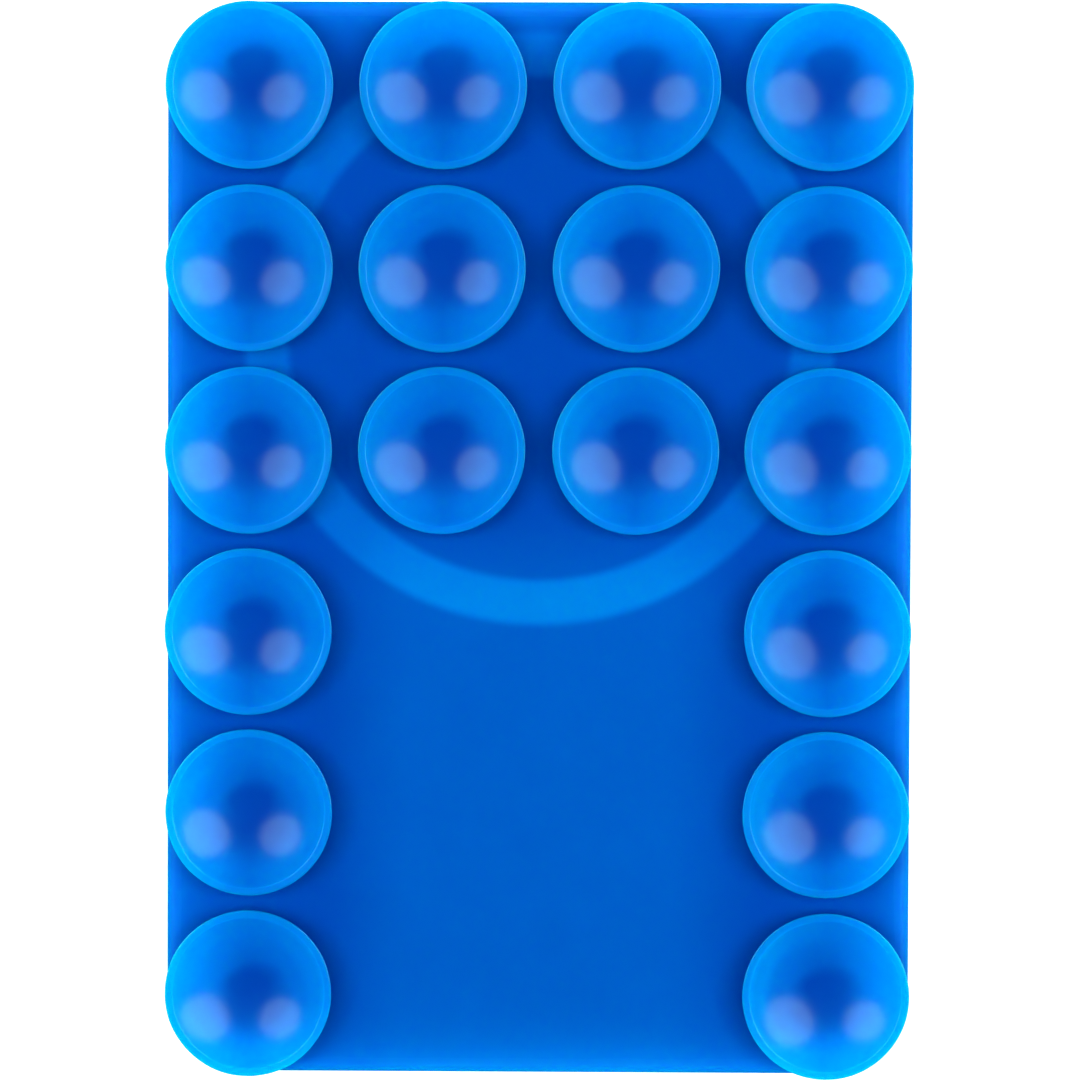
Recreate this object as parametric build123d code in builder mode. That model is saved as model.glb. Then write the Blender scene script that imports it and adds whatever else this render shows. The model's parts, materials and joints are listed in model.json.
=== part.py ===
"""Silicone suction pad with a ring of magnets, which holds a phone on a smooth surface.

The pad lies on its flat back face with its cups upwards. The origin is the centre of the back
face, +Z points from the back face to the cups' rims, and +Y along the pad to the end that
holds the magnet ring. All sizes are in millimetres.

Outside: a rounded silicone plate, a thin silicone skin bonded to its back, and rows of suction
cups on its front. A cup is a thin bell on a stem. Pressed on a surface the bell flattens, so
it is made in two pieces: the hub, which stands still, and the rim, which slides down it.

Inside, between plate and skin: a plastic carrier with a steel yoke, arc magnets and a film.
"""

import math
import os

from build123d import *

# ---- Driving dimensions: plate and skin ----

PAD_WIDTH = 68.0
PAD_LENGTH = 98.0
PAD_CORNER = 7.75
PAD_TOP = 3.0  # height of the plate's front face above the back face
PAD_TOP_EDGE = 0.8
SKIN_THICKNESS = 0.5
SKIN_EDGE = 0.3

# ---- Driving dimensions: cups ----

COLUMNS = 4
ROWS = 6
FULL_ROWS = 3  # rows at the ring's end with a cup in every column; the rest have the outer two
COLUMN_PITCH = 17.5
ROW_PITCH = 16.5

CUP_RADIUS = 7.6
CUP_HEIGHT = 4.8
BOWL_SPHERE = 10.2
BOWL_MOUTH = 6.9  # radius at which the bowl meets the almost flat flange
FLANGE_RISE = 0.07
RIM_FLAT = 0.25
RIM_THICKNESS = 0.35
RIM_EDGE = 0.1
BELL_BULGE = 0.3
HUB_RADIUS = 2.6
HUB_HEIGHT = 1.4  # where the bell's underside meets the stem
HUB_FILLET = 0.5
SPLIT_RADIUS = 4.0  # where the moving rim parts from the hub
SPLIT_GAP = 0.1

# ---- Driving dimensions: magnet ring ----

RING_CENTRE = (0, 19.25)
RING_OUTER = 27.0
RING_INNER = 23.0
POCKET_GAP = 0.05
CARRIER_WALL = 0.4
CARRIER_FLOOR = 0.3
YOKE_THICKNESS = 0.3
MAGNET_COUNT = 18
MAGNET_THICKNESS = 1.0
MAGNET_SPACING = 0.3
MAGNET_EDGE = 0.12
FILM_THICKNESS = 0.1

# ---- Worked out from them ----

MAGNET_BOTTOM = SKIN_THICKNESS + FILM_THICKNESS
YOKE_BOTTOM = MAGNET_BOTTOM + MAGNET_THICKNESS
CARRIER_FLOOR_BOTTOM = YOKE_BOTTOM + YOKE_THICKNESS
POCKET_DEPTH = CARRIER_FLOOR_BOTTOM + CARRIER_FLOOR - SKIN_THICKNESS
CHANNEL_OUTER = RING_OUTER - CARRIER_WALL
CHANNEL_INNER = RING_INNER + CARRIER_WALL

BOWL_DEPTH = BOWL_SPHERE - math.sqrt(BOWL_SPHERE**2 - BOWL_MOUTH**2)
BOWL_FLOOR = CUP_HEIGHT - FLANGE_RISE - BOWL_DEPTH
BOWL_ANGLE = math.degrees(math.asin(BOWL_MOUTH / BOWL_SPHERE))


def cup_places():
    """Each cup's name and centre. Row 1 is at the ring's end and column 1 is at -X."""
    places = []
    for row in range(1, ROWS + 1):
        columns = range(1, COLUMNS + 1) if row <= FULL_ROWS else (1, COLUMNS)
        for column in columns:
            x = (column - (COLUMNS + 1) / 2) * COLUMN_PITCH
            y = ((ROWS + 1) / 2 - row) * ROW_PITCH
            places.append((f"r{row}_c{column}", x, y))
    return places


def save(part, name):
    """Labels a finished piece and writes its STEP file."""
    part.label = name
    export_step(part, f"parts/{name}.step")


# ---- Silicone plate and back skin ----


def make_plate():
    """The plate that carries the cups, with the magnet ring's pocket in its back."""
    with BuildPart() as plate:
        with BuildSketch(Plane.XY.offset(SKIN_THICKNESS)):
            RectangleRounded(PAD_WIDTH, PAD_LENGTH, PAD_CORNER)
        extrude(amount=PAD_TOP - SKIN_THICKNESS)
        fillet(plate.faces().sort_by(Axis.Z)[-1].edges(), PAD_TOP_EDGE)
        with BuildSketch(Plane.XY.offset(SKIN_THICKNESS)):
            with Locations(RING_CENTRE):
                Circle(RING_OUTER + POCKET_GAP)
                Circle(RING_INNER - POCKET_GAP, mode=Mode.SUBTRACT)
        extrude(amount=POCKET_DEPTH, mode=Mode.SUBTRACT)
    save(plate.part, "pad_plate")


def make_skin():
    """The thin skin that closes the pocket and lies against the phone."""
    with BuildPart() as skin:
        with BuildSketch():
            RectangleRounded(PAD_WIDTH, PAD_LENGTH, PAD_CORNER)
        extrude(amount=SKIN_THICKNESS)
        fillet(skin.faces().sort_by(Axis.Z)[0].edges(), SKIN_EDGE)
    save(skin.part, "back_skin")


# ---- Suction cups ----


def cup_section(x, y, inner, outer):
    """The half section of a cup centred on x, y, from one radius to another."""
    with BuildSketch(Plane((x, y, PAD_TOP), x_dir=(1, 0, 0), z_dir=(0, -1, 0))) as section:
        with BuildLine():
            bowl = CenterArc((0, BOWL_FLOOR + BOWL_SPHERE), BOWL_SPHERE, -90, BOWL_ANGLE)
            flange = Line(bowl @ 1, (CUP_RADIUS - RIM_FLAT, CUP_HEIGHT))
            rim_top = Line(flange @ 1, (CUP_RADIUS, CUP_HEIGHT))
            rim_side = Line(rim_top @ 1, (CUP_RADIUS, CUP_HEIGHT - RIM_THICKNESS))
            underside = SagittaArc(rim_side @ 1, (HUB_RADIUS, HUB_HEIGHT), BELL_BULGE)
            stem = Line(underside @ 1, (HUB_RADIUS, HUB_FILLET))
            foot = RadiusArc(stem @ 1, (HUB_RADIUS + HUB_FILLET, 0), HUB_FILLET)
            base = Line(foot @ 1, (0, 0))
            Line(base @ 1, bowl @ 0)
        make_face()
        fillet(section.vertices().group_by(Axis.X)[-1], RIM_EDGE)
        with Locations((inner, 0)):
            Rectangle(outer - inner, CUP_HEIGHT, align=Align.MIN, mode=Mode.INTERSECT)
    return section.sketch


def make_hub(place, x, y):
    """A cup's stem and the middle of its bell, which don't move."""
    section = cup_section(x, y, 0, SPLIT_RADIUS - SPLIT_GAP / 2)
    with BuildPart() as hub:
        add(section)
        revolve(axis=Axis((x, y, 0), (0, 0, 1)))
    save(hub.part, f"cup_hub_{place}")


def make_rim(place, x, y):
    """The outer part of a cup's bell, which slides down when the cup is pressed."""
    section = cup_section(x, y, SPLIT_RADIUS + SPLIT_GAP / 2, CUP_RADIUS)
    with BuildPart() as rim:
        add(section)
        revolve(axis=Axis((x, y, 0), (0, 0, 1)))
    save(rim.part, f"cup_rim_{place}")


# ---- Magnet ring ----


def make_carrier():
    """The plastic channel that holds the yoke and the magnets, open towards the back."""
    with BuildPart() as carrier:
        with BuildSketch(Plane.XY.offset(SKIN_THICKNESS)):
            with Locations(RING_CENTRE):
                Circle(RING_OUTER)
                Circle(RING_INNER, mode=Mode.SUBTRACT)
        extrude(amount=POCKET_DEPTH)
        with BuildSketch(Plane.XY.offset(SKIN_THICKNESS)):
            with Locations(RING_CENTRE):
                Circle(CHANNEL_OUTER)
                Circle(CHANNEL_INNER, mode=Mode.SUBTRACT)
        extrude(amount=POCKET_DEPTH - CARRIER_FLOOR, mode=Mode.SUBTRACT)
    save(carrier.part, "ring_carrier")


def make_flat_ring(name, bottom, thickness):
    """A flat ring that fills the channel's width: the steel yoke or the film."""
    with BuildPart() as ring:
        with BuildSketch(Plane.XY.offset(bottom)):
            with Locations(RING_CENTRE):
                Circle(CHANNEL_OUTER - POCKET_GAP)
                Circle(CHANNEL_INNER + POCKET_GAP, mode=Mode.SUBTRACT)
        extrude(amount=thickness)
    save(ring.part, name)


def make_magnet(number):
    """One arc magnet. Number 1 lies towards +X, and the rest follow counterclockwise."""
    step = 360 / MAGNET_COUNT
    direction = (number - 0.5) * step
    centre_radius = (CHANNEL_OUTER + CHANNEL_INNER) / 2
    width = CHANNEL_OUTER - CHANNEL_INNER - 2 * POCKET_GAP
    arc = step - math.degrees(MAGNET_SPACING / centre_radius)
    with BuildPart() as magnet:
        with BuildSketch(Plane.XY.offset(MAGNET_BOTTOM)) as section:
            with BuildLine():
                outer = CenterArc(RING_CENTRE, centre_radius + width / 2, direction - arc / 2, arc)
                inner = CenterArc(RING_CENTRE, centre_radius - width / 2, direction - arc / 2, arc)
                Line(outer @ 0, inner @ 0)
                Line(outer @ 1, inner @ 1)
            make_face()
            fillet(section.vertices(), MAGNET_EDGE)
        extrude(amount=MAGNET_THICKNESS)
    save(magnet.part, f"magnet_{number:02d}")


os.makedirs("parts", exist_ok=True)

make_plate()
make_skin()
for cup_name, cup_x, cup_y in cup_places():
    make_hub(cup_name, cup_x, cup_y)
    make_rim(cup_name, cup_x, cup_y)

make_carrier()
make_flat_ring("ring_yoke", YOKE_BOTTOM, YOKE_THICKNESS)
make_flat_ring("ring_film", SKIN_THICKNESS, FILM_THICKNESS)
for magnet_number in range(1, MAGNET_COUNT + 1):
    make_magnet(magnet_number)
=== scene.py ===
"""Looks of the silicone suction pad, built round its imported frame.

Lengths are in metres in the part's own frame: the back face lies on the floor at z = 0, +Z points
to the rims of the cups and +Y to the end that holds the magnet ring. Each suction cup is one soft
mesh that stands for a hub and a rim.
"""

import json
import math
import random

import bpy
import numpy as np
from mathutils import Matrix, Vector


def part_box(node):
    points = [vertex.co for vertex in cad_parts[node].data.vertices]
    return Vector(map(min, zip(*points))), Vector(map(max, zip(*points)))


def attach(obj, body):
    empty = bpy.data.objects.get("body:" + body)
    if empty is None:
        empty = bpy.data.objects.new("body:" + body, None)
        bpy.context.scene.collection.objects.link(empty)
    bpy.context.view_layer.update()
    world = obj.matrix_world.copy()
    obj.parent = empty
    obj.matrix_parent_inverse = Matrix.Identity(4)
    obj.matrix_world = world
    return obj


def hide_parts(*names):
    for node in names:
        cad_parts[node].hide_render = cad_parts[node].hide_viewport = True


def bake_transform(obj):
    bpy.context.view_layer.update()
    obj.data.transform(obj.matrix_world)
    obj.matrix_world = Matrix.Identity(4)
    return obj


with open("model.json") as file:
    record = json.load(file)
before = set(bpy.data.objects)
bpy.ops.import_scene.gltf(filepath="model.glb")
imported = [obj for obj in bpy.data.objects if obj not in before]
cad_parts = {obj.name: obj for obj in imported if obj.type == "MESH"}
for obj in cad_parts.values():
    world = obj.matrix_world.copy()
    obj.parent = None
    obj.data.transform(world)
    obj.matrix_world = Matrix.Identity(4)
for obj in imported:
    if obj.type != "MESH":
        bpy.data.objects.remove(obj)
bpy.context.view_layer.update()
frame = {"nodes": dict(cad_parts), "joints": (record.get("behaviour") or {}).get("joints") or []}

MM = 0.001
random.seed(11)

# ---- Sizes that the frame's boxes don't tell ----

PAD_CORNER = 7.75 * MM
TOP_EDGE = 0.8 * MM
SKIN_EDGE = 0.3 * MM
PARTING_RIDGE = 0.04 * MM  # how far the moulding's parting ridge stands out of the plate's side
PARTING_PLACE = 0.45  # its place, as a share of the plate's thickness
# Its section: heights above its middle, with the share of the ridge that stands out there.
PARTING_SECTION = ((-0.12 * MM, 0), (-0.06 * MM, 0.7), (0, 1), (0.06 * MM, 0.7), (0.12 * MM, 0))
RING_WIDTH = 4.0 * MM
POCKET_GAP = 0.05 * MM

STEM_RADIUS = 2.6 * MM
STEM_FILLET = 0.5 * MM
STEM_TOP = 1.4 * MM  # height at which the stem opens into the bell
BOWL_SPHERE = 10.2 * MM
BOWL_MOUTH = 6.9 * MM
LIP_RISE = 0.07 * MM  # the lip's band is almost flat, and rises outwards by this much
CREASE_REACH = 0.03 * MM  # how far the crease between bowl and lip is rounded on each side
LIP_THICKNESS = 0.35 * MM
LIP_EDGE = 0.1 * MM
BELL_BULGE = 0.3 * MM
CUP_LEAN = 0.05 * MM  # the most that a cup's lip is shifted along X, and along Y
CUP_WAVER = 0.025 * MM  # the most that each wave round a cup's lip draws it in

# ---- How finely the meshes are divided ----

CORNER_STEPS = 16
SIDE_STEPS = (22, 32)  # along a short side of the pad, and along a long one
TOP_EDGE_STEPS = 10
SKIN_EDGE_STEPS = 6
CUP_TURNS = 96

# ---- Tones of a cup's silicone, from 0, deep, to 1, pale, with painted light and shade in them ----

# The tone in the painted shade over a stem:
STEM_TONE = 0.13
BELL_TONE = 0.11  # at the axis, which rises by BELL_TONE_RISE to the rim: painted light that comes through the thinning wall
BELL_TONE_RISE = 0.41
BELL_GAIN = 1.13  # painted shading: multiplies both, and changes with the direction from the axis:
BELL_LEFT_GAIN = 0.05  # added to it towards -X, and taken from it towards +X
BELL_UP_GAIN = 0.04  # added to it towards +Y, and taken from it towards -Y
BELL_MIDDLE_LOSS = 0.17  # painted shade taken from it straight towards +Y and -Y

# Painted light, added to the cup's tone:
SIDE_GLOW = 0.035  # added towards the bell's sides, near its mouth
LEFT_GLOW = 0.03  # more of it towards -X
INWARD_GLOWS = (0.07, 0.17)  # and more towards the pad's middle, in the cups towards -X and +X
LOW_GLOW = 0.16  # added towards -Y, on both sides of the bell's middle line
CREASE_GLOW = 0.07  # added where the bell meets the lip, most at its sides
LIP_GLOW = 0.03  # added to the lip towards -Y
END_PAINTED_LIGHT = 0.15  # painted light, added along the pad's -Y end
END_REACH = 4.0 * MM

# Distances from a cup's axis between which the side and low glows, the crease and the lip set in.
SIDE_GLOW_START = (4.6 * MM, 5.9 * MM)
LOW_GLOW_START = (3.0 * MM, 4.8 * MM)
CREASE_START = (BOWL_MOUTH - 0.45 * MM, BOWL_MOUTH - 0.1 * MM)
LIP_START = (BOWL_MOUTH - 0.1 * MM, BOWL_MOUTH + 0.2 * MM)

# ---- The painted shade over a cup's stem, with its radii in stem radii ----

PATCH_SHIFT = -0.35 * MM  # how far towards +Y the patch lies from the cup's axis
PATCH_DRIFT = 0.9 * MM  # added to that at the pad's +Y end, and taken from it at its -Y end
PATCH_CORE = 0.20  # the patch is darkest inside this radius
PATCH_SHARP_GAIN = 0.72  # added to the core towards +Y, which makes the patch's edge sharp there
PATCH_SHARP_SIDE = (0.3, 0.85)  # the parts of a direction along +Y between which that sets in
PATCH_REACH = 1.50  # the patch has faded out at this radius
PATCH_UP_LOSS = 0.12  # taken from the reach towards +Y, and added to it towards -Y
PATCH_DOWN_GAIN = 0.12  # added to it once more towards -Y
PATCH_CORNER_GAIN = 0.35  # added to it halfway between +X and +Y

# ---- Places, from the frame ----

PLATE_LOW, PLATE_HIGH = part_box("pad_plate")
SKIN_LOW, SKIN_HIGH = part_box("back_skin")
RING_LOW, RING_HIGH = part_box("ring_carrier")
RING_CENTRE = (RING_LOW + RING_HIGH) / 2
RING_OUTER = (RING_HIGH.x - RING_LOW.x) / 2
PAD_WIDTH = PLATE_HIGH.x - PLATE_LOW.x
PAD_LENGTH = PLATE_HIGH.y - PLATE_LOW.y


# ---- Camera and light ----

CAMERA_DISTANCE = 0.5607
CAMERA_TURNS = (("X", -2.722), ("Y", 0.718), ("Z", 0.245))  # in degrees: tilt, lean and roll
CAMERA_SHIFT = (0.069 * MM, -0.168 * MM)  # rightwards and upwards in its own view
SENSOR_WIDTH = 36.0  # in millimetres, as CAMERA_LENS is
CAMERA_LENS = 203.4

SOFTBOX_DISTANCE = 0.55
SOFTBOX_FADE = 0.42  # from 0, a sharp edge, to 1, a fade that starts in the middle
STRIP_DISTANCE = 1.2

WHITE = (1.0, 1.0, 1.0, 1.0)
FLOOR_WHITE = (0.8, 0.8, 0.8, 1.0)
FLOOR_ROUGHNESS = 0.9
FLOOR_HALF = 6.0
BACKDROP_GLOW = 0.8  # of the floor and of the backdrop behind it


def make_camera():
    """Looks down on the cups from about half a metre, almost straight, with a slight roll."""
    turn = Matrix.Identity(3)
    for axis, degrees in CAMERA_TURNS:
        turn = turn @ Matrix.Rotation(math.radians(degrees), 3, axis)
    data = bpy.data.cameras.new("camera")
    data.sensor_width = SENSOR_WIDTH
    data.lens = CAMERA_LENS
    data.clip_start = 0.01
    data.clip_end = 20.0
    camera = bpy.data.objects.new("camera", data)
    place = turn @ Vector((*CAMERA_SHIFT, CAMERA_DISTANCE))
    camera.matrix_world = Matrix.Translation(place) @ turn.to_4x4()
    bpy.context.scene.collection.objects.link(camera)
    bpy.context.scene.camera = camera


def soften_light(data):
    """Rounds a rectangular light and fades it towards its edge, as a softbox's diffuser does."""
    data.use_nodes = True
    tree = data.node_tree
    across = tree.nodes.new("ShaderNodeNewGeometry").outputs["Parametric"]
    spot = vector_maths(tree, "MULTIPLY_ADD", across, (2, 2, 0), (-1, -1, 0))
    edge = maths(tree, "SUBTRACT", 1, vector_maths(tree, "DOT_PRODUCT", spot, spot))
    strength = smooth_step(tree, edge, 0, SOFTBOX_FADE)
    tree.links.new(strength, tree.nodes["Emission"].inputs["Strength"])


def make_area_light(name, direction, distance, size, power, roll=0):
    """A rectangular light aimed at the pad, with its sides along the pad's but for a roll."""
    facing = Vector(direction).normalized()
    level = Vector((0, 1, 0)).cross(facing).normalized()
    data = bpy.data.lights.new(name, "AREA")
    data.shape = "RECTANGLE"
    data.size = size[0]
    data.size_y = size[1]
    data.energy = power
    light = bpy.data.objects.new(name, data)
    turn = Matrix((level, facing.cross(level), facing)).transposed()
    turn = turn @ Matrix.Rotation(math.radians(roll), 3, "Z")
    light.matrix_world = Matrix.Translation(facing * distance) @ turn.to_4x4()
    light.visible_camera = False
    bpy.context.scene.collection.objects.link(light)
    return light


def make_softbox(name, direction, size, power, roll):
    """A soft light that shows only as a gleam on what it shines on."""
    softbox = make_area_light(name, direction, SOFTBOX_DISTANCE, size, power, roll)
    soften_light(softbox.data)
    softbox.visible_diffuse = False


def make_lights():
    """Two softboxes that gleam in the cups, and a strip overhead that lights the pad evenly."""
    make_softbox("softbox_right", direction=(0.65, 0.260, 0.704), size=(0.59, 0.51), power=3.6, roll=-8)
    make_softbox("softbox_left", direction=(-0.605, 0.260, 0.745), size=(0.47, 0.42), power=2.2, roll=8)
    above = (0.012, 0.047, 1)
    strip = make_area_light("overhead_strip", above, STRIP_DISTANCE, size=(1.4, 0.35), power=23.0)
    strip.visible_glossy = False


def make_surroundings():
    """A plain pale backdrop that meets the floor at the horizon and throws no light of its own."""
    world = bpy.data.worlds.new("studio")
    world.use_nodes = True
    background = world.node_tree.nodes["Background"]
    background.inputs["Color"].default_value = WHITE
    background.inputs["Strength"].default_value = BACKDROP_GLOW
    world.cycles_visibility.diffuse = False
    world.cycles_visibility.glossy = False
    bpy.context.scene.world = world


def make_floor():
    """A white table top that glows as much as the backdrop does, under the light from above."""
    half = FLOOR_HALF
    low = SKIN_LOW.z
    mesh = bpy.data.meshes.new("floor")
    corners = [(-half, -half, low), (half, -half, low), (half, half, low), (-half, half, low)]
    mesh.from_pydata(corners, [], [(0, 1, 2, 3)])
    floor = bpy.data.objects.new("floor", mesh)
    bpy.context.scene.collection.objects.link(floor)
    material, _, shader = new_material("floor_white")
    shader.inputs["Base Color"].default_value = FLOOR_WHITE
    shader.inputs["Roughness"].default_value = FLOOR_ROUGHNESS
    shader.inputs["Emission Color"].default_value = WHITE
    shader.inputs["Emission Strength"].default_value = BACKDROP_GLOW
    mesh.materials.append(material)
    floor.visible_glossy = False


# ---- Mesh helpers ----


def mesh_of_loops(name, loops):
    """A closed mesh from a list of loops with equal point counts, each end closed by a fan."""
    count = len(loops[0])
    points = [tuple(point) for loop in loops for point in loop]
    faces = []
    for level in range(len(loops) - 1):
        low = level * count
        high = low + count
        for i in range(count):
            j = (i + 1) % count
            faces.append((low + i, low + j, high + j, high + i))
    first_middle = len(points)
    last_middle = first_middle + 1
    points.append(tuple(np.mean(loops[0], axis=0)))
    points.append(tuple(np.mean(loops[-1], axis=0)))
    last_loop = (len(loops) - 1) * count
    for i in range(count):
        j = (i + 1) % count
        faces.append((first_middle, j, i))
        faces.append((last_middle, last_loop + i, last_loop + j))
    mesh = bpy.data.meshes.new(name)
    mesh.from_pydata(points, [], faces)
    mesh.update()
    mesh.shade_smooth()
    piece = bpy.data.objects.new(name, mesh)
    bpy.context.scene.collection.objects.link(piece)
    return piece


def corner_point(quarter, share, radius, z):
    """A point that lies a share of the way round one of the pad's four corners."""
    x = PAD_WIDTH / 2 - PAD_CORNER
    y = PAD_LENGTH / 2 - PAD_CORNER
    if quarter % 4 in (1, 2):
        x = -x
    if quarter % 4 in (2, 3):
        y = -y
    angle = math.radians(90 * (quarter + share))
    return x + radius * math.cos(angle), y + radius * math.sin(angle), z


def pad_outline(inset, z):
    """Points round the pad's rounded rectangle, moved inwards by an inset."""
    radius = PAD_CORNER - inset
    points = []
    for quarter in range(4):
        for step in range(CORNER_STEPS + 1):
            points.append(corner_point(quarter, step / CORNER_STEPS, radius, z))
        start = Vector(points[-1])
        end = Vector(corner_point(quarter + 1, 0, radius, z))
        steps = SIDE_STEPS[quarter % 2]
        for step in range(1, steps):
            points.append(tuple(start.lerp(end, step / steps)))
    return np.array(points)


def cap_loops(outline, steps):
    """The outline shrunk towards its middle in steps, for a flat cap."""
    middle = np.array([0.0, 0.0, outline[0][2]])
    return [middle + (outline - middle) * (1 - step / (steps + 1)) for step in range(1, steps + 1)]


def ring_loop(radius, z):
    """A circle round the ring's centre, with points that face those of the pad's outline."""
    outline = pad_outline(0, z)
    centre = np.array([RING_CENTRE.x, RING_CENTRE.y, z])
    away = outline - centre
    return centre + away / np.linalg.norm(away, axis=1, keepdims=True) * radius


# ---- Silicone plate and back skin ----


def make_plate():
    """The plate's shell: back with the ring's pocket, sides with a parting ridge, edge and front."""
    low = PLATE_LOW.z
    high = PLATE_HIGH.z
    pocket = RING_HIGH.z
    outer = RING_OUTER + POCKET_GAP
    inner = RING_OUTER - RING_WIDTH - POCKET_GAP
    loops = [ring_loop(inner * share, low) for share in (0.15, 0.4, 0.7, 1.0)]
    loops += [ring_loop(inner, pocket), ring_loop((inner + outer) / 2, pocket)]
    loops += [ring_loop(outer, pocket), ring_loop(outer, low)]
    back = pad_outline(0, low)
    loops += [loops[-1] + (back - loops[-1]) * share for share in (0.33, 0.67)]
    loops.append(back)
    ridge = low + PARTING_PLACE * (high - low)
    for height, bulge in PARTING_SECTION:
        loops.append(pad_outline(-PARTING_RIDGE * bulge, ridge + height))
    for step in range(TOP_EDGE_STEPS + 1):
        angle = math.radians(90 * step / TOP_EDGE_STEPS)
        inset = TOP_EDGE * (1 - math.cos(angle))
        loops.append(pad_outline(inset, high - TOP_EDGE * (1 - math.sin(angle))))
    loops += cap_loops(loops[-1], steps=24)
    plate = mesh_of_loops("silicone_plate", loops)
    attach(plate, "pad")
    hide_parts("pad_plate")
    return plate


def make_skin():
    """The thin skin bonded to the plate's back."""
    low = SKIN_LOW.z
    high = SKIN_HIGH.z
    loops = cap_loops(pad_outline(SKIN_EDGE, low), steps=12)[::-1]
    for step in range(SKIN_EDGE_STEPS + 1):
        angle = math.radians(90 * step / SKIN_EDGE_STEPS)
        inset = SKIN_EDGE * (1 - math.sin(angle))
        loops.append(pad_outline(inset, low + SKIN_EDGE * (1 - math.cos(angle))))
    loops.append(pad_outline(0, high))
    loops += cap_loops(pad_outline(0, high), steps=6)
    skin = mesh_of_loops("silicone_back_skin", loops)
    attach(skin, "pad")
    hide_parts("back_skin")
    return skin


# ---- A suction cup's shape ----


def arc_points(centre, radius, start, end, steps):
    """Points (r, z) along an arc, angles in degrees."""
    points = []
    for step in range(steps + 1):
        angle = math.radians(start + (end - start) * step / steps)
        points.append((centre[0] + radius * math.cos(angle), centre[1] + radius * math.sin(angle)))
    return points


def bulged(start, end, bulge, steps):
    """Points (r, z) from start to end along a shallow curve that bulges to the left of the way."""
    chord = Vector(end) - Vector(start)
    side = Vector((-chord.y, chord.x)).normalized()
    points = []
    for step in range(steps + 1):
        share = step / steps
        points.append(tuple(Vector(start) + chord * share + side * bulge * 4 * share * (1 - share)))
    return points


def rounded_corner(before, corner, after, steps):
    """Points between two others along a curve that rounds off the corner between them."""
    before, corner, after = Vector(before), Vector(corner), Vector(after)
    points = []
    for step in range(1, steps):
        t = step / steps
        points.append(tuple(before * (1 - t) ** 2 + corner * 2 * t * (1 - t) + after * t**2))
    return points


def cup_profile(cup_radius, cup_height):
    """The half section of a cup as points (r, z), from the stem's foot round to the bowl's middle."""
    bowl_depth = BOWL_SPHERE - math.sqrt(BOWL_SPHERE**2 - BOWL_MOUTH**2)
    mouth = (BOWL_MOUTH, cup_height - LIP_RISE)
    bowl_centre = (0, mouth[1] - bowl_depth + BOWL_SPHERE)
    bowl_angle = math.degrees(math.asin(BOWL_MOUTH / BOWL_SPHERE) - CREASE_REACH / BOWL_SPHERE)
    bowl = arc_points(bowl_centre, BOWL_SPHERE, -90, -90 + bowl_angle, steps=26)[1:]
    band_width = cup_radius - LIP_EDGE - BOWL_MOUTH
    band = []
    for share in (CREASE_REACH / band_width, 0.2, 0.4, 0.6, 0.8):
        band.append((BOWL_MOUTH + band_width * share, mouth[1] + LIP_RISE * share))
    crease = rounded_corner(bowl[-1], mouth, band[0], steps=6)
    lip_centre = cup_radius - LIP_EDGE
    lip_low = cup_height - LIP_THICKNESS
    lip = arc_points((lip_centre, cup_height - LIP_EDGE), LIP_EDGE, 90, 0, steps=5)
    lip += arc_points((lip_centre, lip_low + LIP_EDGE), LIP_EDGE, 0, -60, steps=4)
    underside = bulged(lip[-1], (STEM_RADIUS, STEM_TOP), BELL_BULGE, steps=20)[1:]
    stem = [(STEM_RADIUS, STEM_TOP + (STEM_FILLET - STEM_TOP) * share) for share in (0.33, 0.67)]
    foot = arc_points((STEM_RADIUS + STEM_FILLET, STEM_FILLET), STEM_FILLET, 180, 270, steps=6)
    base = [(STEM_RADIUS * share, 0) for share in (0.8, 0.4, 0.1)]
    points = bowl + crease + band + lip + underside + stem + foot + base
    return points[::-1]


def cup_loops(profile, centre, radius, height):
    """The profile turned round a cup's axis, with a slight lean and waver of the cup's own."""
    lean = [random.uniform(-1, 1) * CUP_LEAN for _ in range(2)]
    waver = []
    for waves in (2, 3, 4):
        waver.append((waves, random.uniform(0, CUP_WAVER), random.uniform(0, 2 * math.pi)))
    loops = []
    for r, z in profile:
        share = min(1, max(0, (r - STEM_RADIUS) / (radius - STEM_RADIUS)))
        lift = share * z / height
        loop = []
        for turn in range(CUP_TURNS):
            angle = 2 * math.pi * turn / CUP_TURNS
            swing = sum(size * math.sin(waves * angle + phase) for waves, size, phase in waver)
            across = r - abs(swing) * share
            x = centre.x + across * math.cos(angle) + lean[0] * lift
            y = centre.y + across * math.sin(angle) + lean[1] * lift
            loop.append((x, y, PLATE_HIGH.z + z))
        loops.append(loop)
    return loops


# ---- A suction cup's tones, with their painted light and shade, and the whole cup ----


def smooth_share(value, start, end):
    """0 before start and 1 after end, with a smooth rise between them."""
    share = np.clip((value - start) / (end - start), 0, 1)
    return share * share * (3 - 2 * share)


def polar(x, y):
    """How far a point is from the middle, and the parts of its direction along +X and +Y."""
    distance = np.hypot(x, y)
    divisor = np.maximum(distance, 0.01 * MM)  # never 0, not even at the middle itself
    return distance, x / divisor, y / divisor


def painted_stem_shade(x, y, along):
    """0 in the painted shade over a stem and 1 outside it. Along is the cup's place, -1 to 1 along Y."""
    distance, right, up = polar(x, y - PATCH_SHIFT - PATCH_DRIFT * along)
    core = PATCH_CORE + PATCH_SHARP_GAIN * smooth_share(up, *PATCH_SHARP_SIDE)
    upper_right = np.maximum(right + up, 0) / math.sqrt(2)
    reach = PATCH_REACH - PATCH_UP_LOSS * up + PATCH_DOWN_GAIN * np.maximum(-up, 0)
    reach = reach + PATCH_CORNER_GAIN * upper_right**2
    return smooth_share(distance, STEM_RADIUS * core, STEM_RADIUS * reach)


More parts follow.
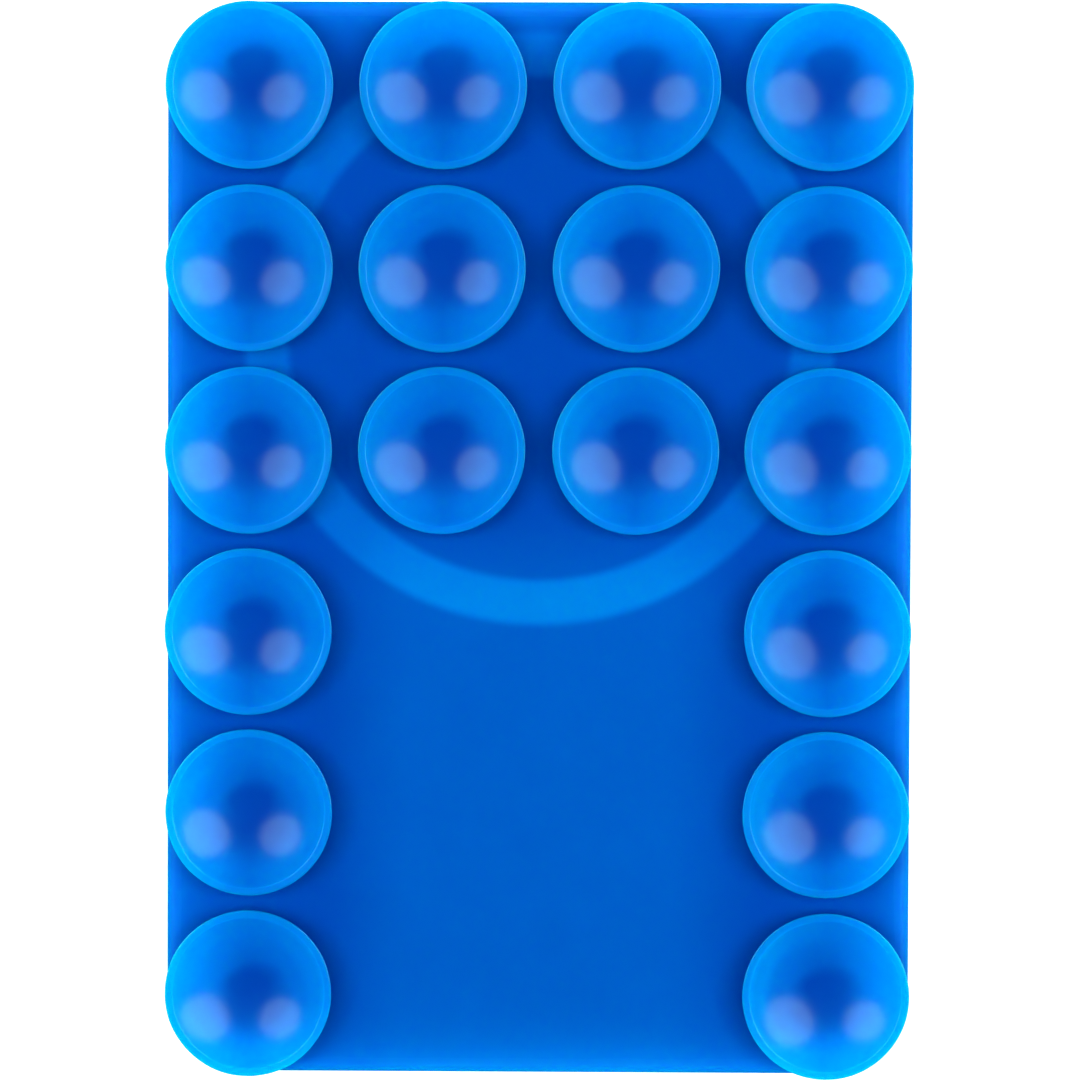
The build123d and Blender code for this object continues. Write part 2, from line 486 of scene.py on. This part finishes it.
def painted_bell_light(distance, right, up, across):
    """The painted light added near a bell's mouth. Across is the cup's place, -1 to 1 along X."""
    leftward = np.maximum(-right, 0) * (LEFT_GLOW + INWARD_GLOWS[1] * max(across, 0))
    rightward = np.maximum(right, 0) * INWARD_GLOWS[0] * max(-across, 0)
    side = SIDE_GLOW * np.abs(right) + leftward + rightward
    down = np.maximum(-up, 0)
    low = LOW_GLOW * np.abs(right) * down**2
    glow = side * smooth_share(distance, *SIDE_GLOW_START) + low * smooth_share(distance, *LOW_GLOW_START)
    lip = smooth_share(distance, *LIP_START)
    crease = smooth_share(distance, *CREASE_START) - lip
    return glow * (1 - lip) + CREASE_GLOW * np.abs(right) * crease + LIP_GLOW * down**3 * lip


def cup_tone(x, y, radius, centre):
    """The silicone's tone at points of a cup, whose places are measured from the cup's axis.

    The bell gets paler outwards, as painted light for the light through its thinning wall, and
    painted shading changes it with the direction from the axis; more painted light adds to it
    near its mouth. The painted shade over the stem ends sharply towards +Y and softly elsewhere.
    Painted light makes the pad's -Y end paler than the rest.
    """
    distance, right, up = polar(x, y)
    # Painted shading, by the direction from the axis.
    gain = BELL_GAIN - BELL_LEFT_GAIN * right + BELL_UP_GAIN * up - BELL_MIDDLE_LOSS * up**4
    bell = (BELL_TONE + BELL_TONE_RISE * distance / radius) * gain
    # Painted light near the bell's mouth.
    bell = bell + painted_bell_light(distance, right, up, centre.x / (PAD_WIDTH / 2))
    # Painted shade over the stem, where less light comes through the thick silicone.
    tone = STEM_TONE + (bell - STEM_TONE) * painted_stem_shade(x, y, centre.y / (PAD_LENGTH / 2))
    # Painted light along the pad's -Y end.
    end_distance = (centre.y + y + PAD_LENGTH / 2) / END_REACH
    return tone + END_PAINTED_LIGHT * np.exp(-(end_distance**2))


def add_attribute(piece, name, values):
    """Gives each point of a piece a number, which its material reads by the name."""
    attribute = piece.data.attributes.new(name, "FLOAT", "POINT")
    attribute.data.foreach_set("value", np.asarray(values, np.float32))


def make_cup(place, profile):
    """One cup: a single mesh for its hub and its rim."""
    hub = f"cup_hub_{place}"
    rim = f"cup_rim_{place}"
    rim_low, rim_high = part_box(rim)
    centre = (rim_low + rim_high) / 2
    radius = (rim_high.x - rim_low.x) / 2
    loops = cup_loops(profile, centre, radius, rim_high.z - PLATE_HIGH.z)
    cup = mesh_of_loops(f"suction_cup_{place}", loops)
    spots = np.array([vertex.co for vertex in cup.data.vertices])
    tones = cup_tone(spots[:, 0] - centre.x, spots[:, 1] - centre.y, radius, centre)
    add_attribute(cup, "tone", tones)
    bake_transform(cup)
    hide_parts(hub, rim)
    return cup


# ---- Shader helpers ----


def new_material(name):
    """A material with an empty Principled shader: (material, tree, shader)."""
    material = bpy.data.materials.new(name)
    material.use_nodes = True
    tree = material.node_tree
    return material, tree, tree.nodes["Principled BSDF"]


def set_input(tree, socket, value):
    """Links a socket to another node's output, or gives it a plain value."""
    if isinstance(value, bpy.types.NodeSocket):
        tree.links.new(value, socket)
    else:
        socket.default_value = value


def maths(tree, operation, *values):
    """The result of an operation on numbers, each of them plain or another node's output."""
    node = tree.nodes.new("ShaderNodeMath")
    node.operation = operation
    for socket, value in zip(node.inputs, values):
        set_input(tree, socket, value)
    return node.outputs["Value"]


def vector_maths(tree, operation, *values):
    """The same for vectors. A length or a dot product comes out as a number."""
    node = tree.nodes.new("ShaderNodeVectorMath")
    node.operation = operation
    for socket, value in zip(node.inputs, values):
        set_input(tree, socket, value)
    return node.outputs["Value" if operation in ("LENGTH", "DOT_PRODUCT") else "Vector"]


def component(tree, vector, axis):
    """One of a vector's numbers, by its axis."""
    split = tree.nodes.new("ShaderNodeSeparateXYZ")
    tree.links.new(vector, split.inputs[0])
    return split.outputs[axis]


def smooth_step(tree, value, start, end):
    """0 before start and 1 after end, with a smooth rise between them."""
    node = tree.nodes.new("ShaderNodeMapRange")
    node.interpolation_type = "SMOOTHSTEP"
    set_input(tree, node.inputs["Value"], value)
    node.inputs["From Min"].default_value = start
    node.inputs["From Max"].default_value = end
    return node.outputs["Result"]


def ramp(tree, value, stops):
    """A colour ramp whose stops are (position, (red, green, blue))."""
    node = tree.nodes.new("ShaderNodeValToRGB")
    elements = node.color_ramp.elements
    while len(elements) < len(stops):
        elements.new(0.5)
    for element, (position, colour) in zip(elements, stops):
        element.position = position
        element.color = (*colour, 1.0)
    set_input(tree, node.inputs["Fac"], value)
    return node.outputs["Color"]


def object_place(tree):
    """The point's place in the part's own frame, in metres."""
    return tree.nodes.new("ShaderNodeTexCoord").outputs["Object"]


def noise(tree, size, detail=2.0, roughness=0.5, stretch=(1, 1, 1)):
    """Soft noise from 0 to 1 whose patches are about size across."""
    node = tree.nodes.new("ShaderNodeTexNoise")
    set_input(tree, node.inputs["Vector"], vector_maths(tree, "MULTIPLY", object_place(tree), stretch))
    node.inputs["Scale"].default_value = 1 / size
    node.inputs["Detail"].default_value = detail
    node.inputs["Roughness"].default_value = roughness
    return node.outputs["Fac"]


def varied(tree, pattern, middle, swing):
    """A number that wanders round its middle by up to half the swing, as a 0-1 pattern does."""
    return maths(tree, "MULTIPLY_ADD", pattern, swing, middle - swing / 2)


def bump(tree, height, depth):
    """A bump node for a height pattern whose full swing is depth."""
    node = tree.nodes.new("ShaderNodeBump")
    node.inputs["Distance"].default_value = depth
    set_input(tree, node.inputs["Height"], height)
    return node


# ---- Silicone ----

# The silicone's colour by its tone: deep where it is thick, pale where it is thin or catches light.
SILICONE_TONES = (
    (0.05, (0.0, 0.027, 0.24)),
    (0.13, (0.0, 0.054, 0.39)),
    (0.27, (0.0, 0.110, 0.51)),
    (0.42, (0.0, 0.172, 0.65)),
    (0.65, (0.0, 0.270, 0.80)),
    (0.85, (0.0, 0.350, 0.93)),
    (1.00, (0.0, 0.425, 1.00)),
)
SILICONE_IOR = 1.41
GLEAM_TINT = (0.63, 0.93, 1.0, 1.0)
SCATTER_COLOURS = (0.1, 0.6, 1.0)  # shares of the scatter's length for red, green and blue
GLOSS_ROUGHNESS = 0.19

PLATE_TONE = 0.27  # in the open part, which carries no cups
PLATE_GLOSS = 0.2
PLATE_SCATTER = 2.4 * MM  # how far light spreads inside it
FIELD_SHADE_TONE = 0.165  # painted shade among the cups, which keep light out of it
FIELD_BLUR = 10 * MM
OPEN_HALF_WIDTH = 21 * MM  # of the open part
OPEN_END = 4 * MM  # how far it goes towards +Y
RING_GAIN = 1.96  # how much paler the plate is over the magnet ring
RING_BLUR = 1.1 * MM  # the silicone over the ring blurs its edges this much
PLATE_EDGE_LIGHT = 0.42  # painted light, added at the pad's outline, where light enters from the side
PLATE_EDGE_REACH = 1.85 * MM
MATT_ROUGHNESS = 0.5  # added along the plate's outline, which is matt
MATT_REACH = 1.0 * MM  # how far in from the outline that fades

CUP_GLOSS = 0.5
CUP_SCATTER = 1.6 * MM  # shorter, because a cup is thin
CUP_EDGE_LIGHT = 0.36  # painted light, added to the cups at the pad's outline
CUP_EDGE_REACH = 4.2 * MM


def inside_distance(tree):
    """How far a point is inside the pad's rounded outline, seen from above."""
    straight = (PAD_WIDTH / 2 - PAD_CORNER, PAD_LENGTH / 2 - PAD_CORNER, 0)
    flat = vector_maths(tree, "MULTIPLY", object_place(tree), (1, 1, 0))
    past = vector_maths(tree, "SUBTRACT", vector_maths(tree, "ABSOLUTE", flat), straight)
    round_part = vector_maths(tree, "LENGTH", vector_maths(tree, "MAXIMUM", past, (0, 0, 0)))
    furthest = maths(tree, "MAXIMUM", component(tree, past, "X"), component(tree, past, "Y"))
    outside = maths(tree, "ADD", round_part, maths(tree, "MINIMUM", furthest, 0))
    return maths(tree, "MAXIMUM", maths(tree, "SUBTRACT", PAD_CORNER, outside), 0)


def near_edge(tree, reach, power):
    """1 at the pad's outline, fading to 0 inside it."""
    depth = maths(tree, "POWER", maths(tree, "DIVIDE", inside_distance(tree), reach), power)
    return maths(tree, "EXPONENT", maths(tree, "MULTIPLY", depth, -1))


def ring_band(tree):
    """1 over the magnet ring and 0 elsewhere, with edges blurred by the silicone over it."""
    centre = (RING_CENTRE.x, RING_CENTRE.y, 0)
    flat = vector_maths(tree, "MULTIPLY", object_place(tree), (1, 1, 0))
    distance = vector_maths(tree, "LENGTH", vector_maths(tree, "SUBTRACT", flat, centre))
    inner = RING_OUTER - RING_WIDTH
    inside = smooth_step(tree, distance, inner - RING_BLUR / 2, inner + RING_BLUR / 2)
    outside = smooth_step(tree, distance, RING_OUTER - RING_BLUR / 2, RING_OUTER + RING_BLUR / 2)
    return maths(tree, "SUBTRACT", inside, outside)


def open_plate(tree):
    """1 on the open plate, 0 among the cups: painted shade for the light they keep out."""
    across = maths(tree, "ABSOLUTE", component(tree, object_place(tree), "X"))
    along = component(tree, object_place(tree), "Y")
    side = smooth_step(tree, across, OPEN_HALF_WIDTH - FIELD_BLUR, OPEN_HALF_WIDTH)
    end = smooth_step(tree, along, OPEN_END - FIELD_BLUR, OPEN_END)
    return maths(tree, "MULTIPLY", maths(tree, "SUBTRACT", 1, side), maths(tree, "SUBTRACT", 1, end))


def finish_silicone(tree, shader, tone, roughness, gloss, scatter):
    """Colour from the tone, with cloudy pigment, smudges, a moulded skin and light that sinks in."""
    clouds = varied(tree, noise(tree, size=5 * MM, detail=3), middle=1.0, swing=0.14)
    grain = varied(tree, noise(tree, size=0.35 * MM), middle=1.0, swing=0.05)
    mixed = maths(tree, "MULTIPLY", maths(tree, "MULTIPLY", tone, clouds), grain)
    tree.links.new(ramp(tree, mixed, SILICONE_TONES), shader.inputs["Base Color"])
    smears = noise(tree, size=2.2 * MM, detail=4, roughness=0.6, stretch=(1, 0.45, 1))
    smudges = varied(tree, smears, middle=0.0, swing=0.10)
    tree.links.new(maths(tree, "ADD", roughness, smudges), shader.inputs["Roughness"])
    swell = bump(tree, noise(tree, size=2.6 * MM, detail=1), depth=0.012 * MM)
    skin = bump(tree, noise(tree, size=0.12 * MM), depth=0.0012 * MM)
    tree.links.new(swell.outputs["Normal"], skin.inputs["Normal"])
    tree.links.new(skin.outputs["Normal"], shader.inputs["Normal"])
    shader.inputs["IOR"].default_value = SILICONE_IOR
    shader.inputs["Specular IOR Level"].default_value = gloss
    shader.inputs["Specular Tint"].default_value = GLEAM_TINT
    shader.inputs["Subsurface Weight"].default_value = 1.0
    shader.inputs["Subsurface Radius"].default_value = SCATTER_COLOURS
    shader.inputs["Subsurface Scale"].default_value = scatter


def plate_silicone():
    """Thick silicone: deep blue, paler over the magnet ring; painted light at its edges, painted shade
    among cups.
    """
    material, tree, shader = new_material("blue_silicone_plate")
    # Painted shade among the cups.
    open_tone = maths(tree, "MULTIPLY_ADD", open_plate(tree), PLATE_TONE - FIELD_SHADE_TONE, FIELD_SHADE_TONE)
    over_ring = maths(tree, "MULTIPLY_ADD", ring_band(tree), RING_GAIN - 1, 1)
    inner_tone = maths(tree, "MULTIPLY", open_tone, over_ring)
    # Painted light along the pad's outline.
    edge = near_edge(tree, PLATE_EDGE_REACH, power=1)
    tone = maths(tree, "MULTIPLY_ADD", edge, PLATE_EDGE_LIGHT, inner_tone)
    matt_edge = near_edge(tree, MATT_REACH, power=2)
    roughness = maths(tree, "MULTIPLY_ADD", matt_edge, MATT_ROUGHNESS, GLOSS_ROUGHNESS)
    finish_silicone(tree, shader, tone, roughness, PLATE_GLOSS, PLATE_SCATTER)
    return material


def cup_silicone():
    """Thin silicone: each cup's tones with their painted light and shade, and painted light along the
    pad's edges.
    """
    material, tree, shader = new_material("blue_silicone_cup")
    own = tree.nodes.new("ShaderNodeAttribute")
    own.attribute_name = "tone"
    # Painted light on the cups along the pad's outline.
    edge = near_edge(tree, CUP_EDGE_REACH, power=2)
    tone = maths(tree, "MULTIPLY_ADD", edge, CUP_EDGE_LIGHT, own.outputs["Fac"])
    finish_silicone(tree, shader, tone, GLOSS_ROUGHNESS, CUP_GLOSS, CUP_SCATTER)
    return material


# ---- Magnet ring, seen only when the silicone is taken off ----


def finish_ring_piece(tree, shader, colour, roughness, relief, metallic=0.0):
    """Gives a shader its colour, roughness and bump, each from a pattern."""
    tree.links.new(colour, shader.inputs["Base Color"])
    tree.links.new(roughness, shader.inputs["Roughness"])
    tree.links.new(relief.outputs["Normal"], shader.inputs["Normal"])
    shader.inputs["Metallic"].default_value = metallic


def carrier_plastic():
    """White plastic, clouded by its flow into the mould."""
    material, tree, shader = new_material("white_ring_plastic")
    flow = noise(tree, size=3 * MM, detail=3)
    whites = ramp(tree, flow, ((0.3, (0.70, 0.71, 0.72)), (0.7, (0.78, 0.78, 0.77))))
    roughness = varied(tree, noise(tree, size=0.8 * MM), middle=0.45, swing=0.14)
    skin = bump(tree, noise(tree, size=0.1 * MM), depth=0.002 * MM)
    finish_ring_piece(tree, shader, whites, roughness, skin)
    return material


def yoke_steel():
    """Thin steel with the fine lines of rolling along X."""
    material, tree, shader = new_material("rolled_yoke_steel")
    rolling = noise(tree, size=1.0 * MM, detail=4, roughness=0.65, stretch=(0.08, 1.6, 1))
    greys = ramp(tree, rolling, ((0.3, (0.50, 0.50, 0.49)), (0.7, (0.62, 0.62, 0.61))))
    roughness = varied(tree, rolling, middle=0.34, swing=0.18)
    grain = bump(tree, rolling, depth=0.003 * MM)
    finish_ring_piece(tree, shader, greys, roughness, grain, metallic=1.0)
    return material


def magnet_plating():
    """Nickel plating, warmer and duller in patches, with fine pits."""
    material, tree, shader = new_material("nickel_magnet_plating")
    patches = noise(tree, size=0.9 * MM, detail=3)
    nickels = ramp(tree, patches, ((0.3, (0.63, 0.60, 0.55)), (0.7, (0.74, 0.71, 0.66))))
    roughness = varied(tree, patches, middle=0.24, swing=0.12)
    pits = bump(tree, noise(tree, size=0.15 * MM, detail=4), depth=0.002 * MM)
    finish_ring_piece(tree, shader, nickels, roughness, pits, metallic=1.0)
    return material


def ring_film():
    """White adhesive film with a fibrous surface."""
    material, tree, shader = new_material("white_ring_film")
    fibres = noise(tree, size=0.5 * MM, detail=5, roughness=0.7)
    whites = ramp(tree, fibres, ((0.35, (0.76, 0.76, 0.75)), (0.65, (0.84, 0.84, 0.83))))
    roughness = varied(tree, fibres, middle=0.55, swing=0.16)
    matt = bump(tree, fibres, depth=0.004 * MM)
    finish_ring_piece(tree, shader, whites, roughness, matt)
    return material


def dress_ring():
    """Gives the ring's CAD pieces, which keep their own shape, a finish each."""
    finishes = {"ring_carrier": carrier_plastic(), "ring_yoke": yoke_steel(), "ring_film": ring_film()}
    plating = magnet_plating()
    for node in frame["nodes"]:
        if node.startswith("magnet_"):
            finishes[node] = plating
    for node, material in finishes.items():
        for slot in frame["nodes"][node].material_slots:
            slot.material = material


# ---- The scene ----

make_camera()
make_lights()
make_surroundings()
make_floor()
bpy.context.scene.view_settings.view_transform = "Standard"

plate_material = plate_silicone()
plate = make_plate()
plate.data.materials.append(plate_material)
skin = make_skin()
skin.data.materials.append(plate_material)

first_low, first_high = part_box("cup_rim_r1_c1")
profile = cup_profile((first_high.x - first_low.x) / 2, first_high.z - PLATE_HIGH.z)
cup_material = cup_silicone()
for joint in frame["joints"]:
    cup = make_cup(joint["child"].removeprefix("cup_"), profile)
    cup.data.materials.append(cup_material)
dress_ring()
